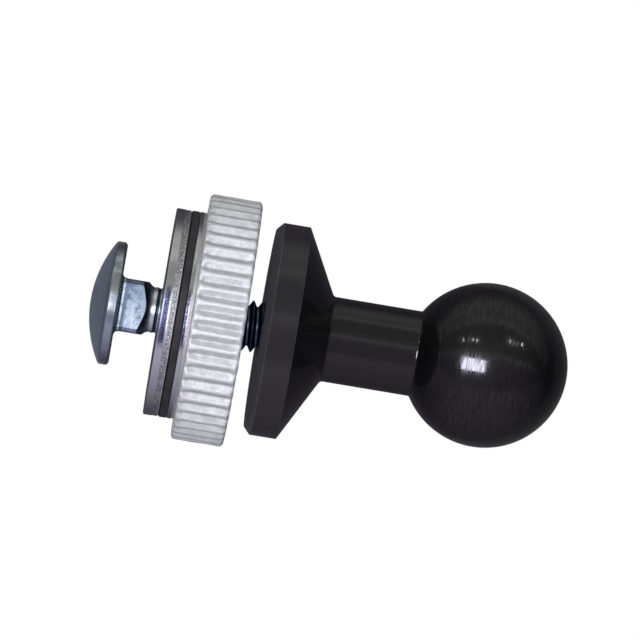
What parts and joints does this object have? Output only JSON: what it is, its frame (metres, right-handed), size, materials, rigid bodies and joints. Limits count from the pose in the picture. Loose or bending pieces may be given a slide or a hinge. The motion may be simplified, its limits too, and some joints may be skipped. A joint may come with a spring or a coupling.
{
  "type": "ball stud with track bolt",
  "caption": "Ball on a flanged post, with a carriage bolt, washers and a ribbed thumb nut that clamp it into the slot of a mounting track.",
  "frame": {"origin": "centre of the ball", "axes": "+Z along the bolt's axis, from the bolt's head towards the ball; two flats of the bolt's square neck face +X and -X, and two face +Y and -Y"},
  "size_m": [0.038, 0.038, 0.0742],
  "materials": {
    "zinc_steel": "bright zinc plate, slightly blotchy",
    "black_rubber": "matt black, cut edge",
    "bare_aluminium": "bare, tumbled matt",
    "black_anodised": "black anodised over fine turning marks, satin"
  },
  "bodies": {
    "post_and_bolt": {"ball_post": "black_anodised", "carriage_bolt": "zinc_steel"},
    "track_washer": {"track_washer": "zinc_steel"},
    "rubber_washer": {"rubber_washer": "black_rubber"},
    "nut_washer": {"nut_washer": "zinc_steel"},
    "thumb_nut": {"thumb_nut": "bare_aluminium"}
  },
  "joints": [
    {"name": "clamp_travel", "type": "slide", "parent": "post_and_bolt", "child": "track_washer", "axis": [0, 0, 1], "range_m": [-0.00198, 0.0027]},
    {"name": "nut_turn", "type": "hinge", "parent": "track_washer", "child": "thumb_nut", "pos_m": [0, 0, -0.0417], "axis": [0, 0, 1], "range_deg": [-504, 688]},
    {"name": "rubber_washer_spin", "type": "hinge", "parent": "track_washer", "child": "rubber_washer", "pos_m": [0, 0, -0.0478], "axis": [0, 0, 1], "continuous": true},
    {"name": "nut_washer_spin", "type": "hinge", "parent": "track_washer", "child": "nut_washer", "pos_m": [0, 0, -0.04655], "axis": [0, 0, 1], "continuous": true}
  ],
  "couplings": [
    {"joint": "clamp_travel", "follows": "nut_turn", "m_per_rad": 0.00022457}
  ]
}
